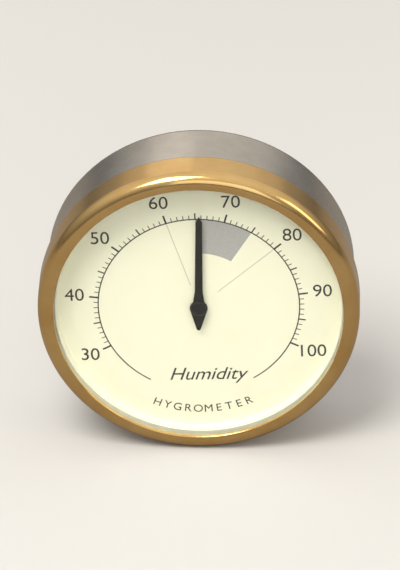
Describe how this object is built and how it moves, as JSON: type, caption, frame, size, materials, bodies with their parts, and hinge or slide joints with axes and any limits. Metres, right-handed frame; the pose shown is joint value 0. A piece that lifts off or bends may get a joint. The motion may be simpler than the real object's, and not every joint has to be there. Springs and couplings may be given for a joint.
{
  "type": "dial hygrometer",
  "caption": "Round dial hygrometer with a polished metal bezel, domed glass and magnetic back, for the inside of a box lid.",
  "frame": {"origin": "centre of the adhesive face that meets the lid", "axes": "+Y into the lid along the instrument's axis, so the dial faces -Y; +Z towards 12 o'clock; +X to the reader's right"},
  "size_m": [0.045, 0.0162, 0.045],
  "materials": {
    "foam_tape": "matt white foam with adhesive on both faces",
    "zinc_steel": "zinc-plated, satin",
    "plated_magnet": "nickel-plated, semi-bright",
    "case_nickel": "nickel-plated drawn steel, bright",
    "gauze": "fine woven black gauze",
    "cream_plastic": "moulded, satin",
    "gold_brass": "polished and lacquered gold colour",
    "window_glass": "clear, slightly domed",
    "seal": "thin cream seal",
    "dial_paint": "cream enamel, satin, printed in black and grey",
    "raw_brass": "unlacquered, fine brushed",
    "blued_steel": "blued",
    "spring_steel": "polished",
    "bronze_strip": "rolled strip, satin",
    "humidity_film": "matt moisture-absorbing coating",
    "black_paint": "black, satin"
  },
  "bodies": {
    "lid_fixing": {"adhesive_pad": "foam_tape", "wall_plate": "zinc_steel"},
    "magnet": {"ring_magnet": "plated_magnet"},
    "case": {"case_cup": "case_nickel", "vent_screen": "gauze", "movement_ring": "cream_plastic", "bezel_ring": "gold_brass", "crystal": "window_glass", "crystal_gasket": "seal", "spacer_ring": "cream_plastic", "dial_plate": "dial_paint", "dial_feet": "raw_brass", "dial_foot_collars": "raw_brass", "front_plate": "raw_brass", "rear_plate": "raw_brass", "pillars": "raw_brass", "front_plate_screws": "blued_steel", "rear_plate_screws": "blued_steel", "front_bush": "raw_brass", "spring_washer": "spring_steel"},
    "adjuster": {"adjuster_hub": "raw_brass", "anchor_arm": "raw_brass", "anchor_post": "raw_brass", "coil_wedge": "raw_brass", "coil_bronze": "bronze_strip", "coil_film": "humidity_film"},
    "pointer": {"pointer_staff": "spring_steel", "coil_collet": "raw_brass", "pointer_collet": "raw_brass", "pointer_blade": "black_paint", "pointer_cap": "black_paint"}
  },
  "joints": [
    {"name": "pull_off", "type": "slide", "parent": "lid_fixing", "child": "magnet", "axis": [0, -1, 0], "range_m": [0, 0.03]},
    {"name": "case_turn", "type": "hinge", "parent": "magnet", "child": "case", "pos_m": [0, 0, 0], "axis": [0, 1, 0], "continuous": true},
    {"name": "calibrate", "type": "hinge", "parent": "case", "child": "adjuster", "pos_m": [0, 0, 0], "axis": [0, 1, 0], "range_deg": [-25, 25]},
    {"name": "pointer_swing", "type": "hinge", "parent": "adjuster", "child": "pointer", "pos_m": [0, 0, 0], "axis": [0, 1, 0], "range_deg": [-140, 130], "stiffness_Nm_per_rad": 0.000005, "deforming": ["coil_bronze", "coil_film"]}
  ]
}
